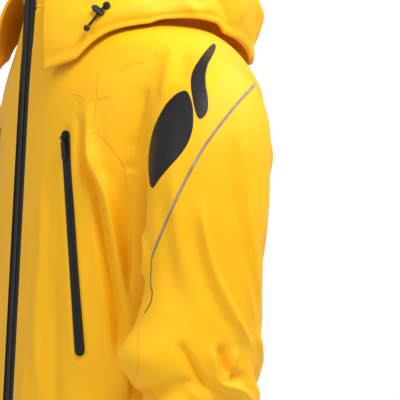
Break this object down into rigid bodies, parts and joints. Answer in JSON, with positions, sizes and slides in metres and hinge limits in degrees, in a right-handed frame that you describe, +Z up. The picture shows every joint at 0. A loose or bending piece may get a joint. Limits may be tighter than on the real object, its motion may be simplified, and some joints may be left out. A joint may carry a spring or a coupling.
{
  "type": "ski jacket",
  "caption": "Insulated ski jacket with welded chest pockets, stand collar, folded soft hood with cord locks, shaped sleeves, cuff tabs, powder skirt and full-length front zip.",
  "frame": {"origin": "centre of the neck opening at the collar seam", "axes": "+Z up, -Y to the front of the jacket, +X to the wearer's left"},
  "size_m": [0.6762, 0.3383, 0.7926],
  "materials": {
    "shell_fabric": "matt woven two-layer shell with a soft sheen",
    "lining_fabric": "brushed tricot and plain-weave lining",
    "reflective_piping": "grey retroreflective tape over a cord",
    "zip_tape": "water-repellent coated tape and braided cord",
    "zip_plastic": "moulded acetal",
    "zip_metal": "black lacquered zinc"
  },
  "bodies": {
    "torso": {"front_panel_left": "shell_fabric", "front_panel_right": "shell_fabric", "side_panel_left": "shell_fabric", "side_panel_right": "shell_fabric", "yoke_left": "shell_fabric", "yoke_right": "shell_fabric", "armhole_binding_left": "shell_fabric", "armhole_binding_right": "shell_fabric", "hood_cheek_left": "shell_fabric", "hood_cheek_right": "shell_fabric", "back_panel": "shell_fabric", "collar": "shell_fabric", "hem_band": "shell_fabric", "collar_lining": "lining_fabric", "body_lining": "lining_fabric", "powder_skirt": "lining_fabric", "inner_storm_flap": "lining_fabric", "chin_guard": "lining_fabric", "hanger_loop": "lining_fabric", "pocket_bag_left": "lining_fabric", "pocket_bag_right": "lining_fabric", "front_facing_left": "lining_fabric", "front_facing_right": "lining_fabric", "main_zip_tape_left": "zip_tape", "main_zip_tape_right": "zip_tape", "pocket_zip_left": "zip_tape", "pocket_zip_right": "zip_tape", "hood_cord_left": "zip_tape", "hood_cord_right": "zip_tape", "main_zip_chain": "zip_plastic", "hood_cord_end_left": "zip_plastic", "hood_cord_end_right": "zip_plastic", "hood_cord_eyelet_left": "zip_plastic", "hood_cord_eyelet_right": "zip_plastic", "skirt_snap_stud": "zip_metal", "skirt_snap_socket": "zip_metal"},
    "upper_arm_left": {"sleeve_upper_left": "shell_fabric", "sleeve_piping_left": "reflective_piping"},
    "upper_arm_right": {"sleeve_upper_right": "shell_fabric", "sleeve_piping_right": "reflective_piping"},
    "forearm_left": {"sleeve_forearm_left": "shell_fabric", "cuff_left": "shell_fabric", "wrist_gaiter_left": "lining_fabric"},
    "forearm_right": {"sleeve_forearm_right": "shell_fabric", "cuff_right": "shell_fabric", "wrist_gaiter_right": "lining_fabric"},
    "cuff_tab_left": {"cuff_tab_left": "shell_fabric"},
    "cuff_tab_right": {"cuff_tab_right": "shell_fabric"},
    "hood": {"hood_back": "shell_fabric"},
    "main_slider": {"main_zip_slider": "zip_metal"},
    "main_pull": {"main_zip_pull": "zip_plastic"},
    "pocket_slider_left": {"pocket_slider_left": "zip_metal"},
    "pocket_pull_left": {"pocket_pull_left": "zip_plastic"},
    "cord_lock_left": {"hood_cord_lock_left": "zip_plastic"},
    "lock_button_left": {"hood_lock_button_left": "zip_plastic"},
    "pocket_slider_right": {"pocket_slider_right": "zip_metal"},
    "pocket_pull_right": {"pocket_pull_right": "zip_plastic"},
    "cord_lock_right": {"hood_cord_lock_right": "zip_plastic"},
    "lock_button_right": {"hood_lock_button_right": "zip_plastic"}
  },
  "joints": [
    {"name": "shoulder_left", "type": "hinge", "parent": "torso", "child": "upper_arm_left", "pos_m": [0.2119, 0, -0.0535], "axis": [0, -1, 0], "range_deg": [0, 75]},
    {"name": "shoulder_right", "type": "hinge", "parent": "torso", "child": "upper_arm_right", "pos_m": [-0.2119, 0, -0.0535], "axis": [0, 1, 0], "range_deg": [0, 75]},
    {"name": "elbow_left", "type": "hinge", "parent": "upper_arm_left", "child": "forearm_left", "pos_m": [0.275, -0.056, -0.462], "axis": [-1, 0, 0], "range_deg": [0, 70]},
    {"name": "elbow_right", "type": "hinge", "parent": "upper_arm_right", "child": "forearm_right", "pos_m": [-0.275, -0.056, -0.462], "axis": [-1, 0, 0], "range_deg": [0, 70]},
    {"name": "cuff_tab_lift_left", "type": "hinge", "parent": "forearm_left", "child": "cuff_tab_left", "pos_m": [0.28095, -0.13528, -0.6433], "axis": [0, -0.4104, -0.9119], "range_deg": [0, 120]},
    {"name": "cuff_tab_lift_right", "type": "hinge", "parent": "forearm_right", "child": "cuff_tab_right", "pos_m": [-0.28095, -0.13528, -0.6433], "axis": [0, 0.4104, 0.9119], "range_deg": [0, 120]},
    {"name": "hood_lift", "type": "hinge", "parent": "torso", "child": "hood", "pos_m": [0, 0, 0.02], "axis": [1, 0, 0], "range_deg": [0, 75]},
    {"name": "main_zip_slide", "type": "slide", "parent": "torso", "child": "main_slider", "axis": [0, -0.0582, -0.9983], "range_m": [0, 0.76]},
    {"name": "main_pull_swing", "type": "hinge", "parent": "main_slider", "child": "main_pull", "pos_m": [0, -0.1181, 0.06365], "axis": [-1, 0, 0], "range_deg": [0, 170]},
    {"name": "pocket_zip_slide_left", "type": "slide", "parent": "torso", "child": "pocket_slider_left", "axis": [0.1295, 0.013, -0.9915], "range_m": [0, 0.243]},
    {"name": "pocket_zip_slide_right", "type": "slide", "parent": "torso", "child": "pocket_slider_right", "axis": [-0.1295, 0.013, -0.9915], "range_m": [0, 0.243]},
    {"name": "pocket_pull_swing_left", "type": "hinge", "parent": "pocket_slider_left", "child": "pocket_pull_left", "pos_m": [0.11553, -0.11727, -0.16168], "axis": [-0.9062, -0.4044, -0.1237], "range_deg": [0, 170]},
    {"name": "pocket_pull_swing_right", "type": "hinge", "parent": "pocket_slider_right", "child": "pocket_pull_right", "pos_m": [-0.11553, -0.11727, -0.16168], "axis": [-0.9062, 0.4044, 0.1237], "range_deg": [0, 170]},
    {"name": "cord_lock_slide_left", "type": "slide", "parent": "torso", "child": "cord_lock_left", "axis": [-0.1674, -0.6078, -0.7763], "range_m": [-0.003, 0.012]},
    {"name": "cord_lock_slide_right", "type": "slide", "parent": "torso", "child": "cord_lock_right", "axis": [0.1674, -0.6078, -0.7763], "range_m": [-0.003, 0.012]},
    {"name": "lock_button_press_left", "type": "slide", "parent": "cord_lock_left", "child": "lock_button_left", "axis": [0.6526, 0.5219, -0.5493], "range_m": [0, 0.0023], "stiffness_N_per_m": 400},
    {"name": "lock_button_press_right", "type": "slide", "parent": "cord_lock_right", "child": "lock_button_right", "axis": [-0.6526, 0.5219, -0.5493], "range_m": [0, 0.0023], "stiffness_N_per_m": 400}
  ]
}
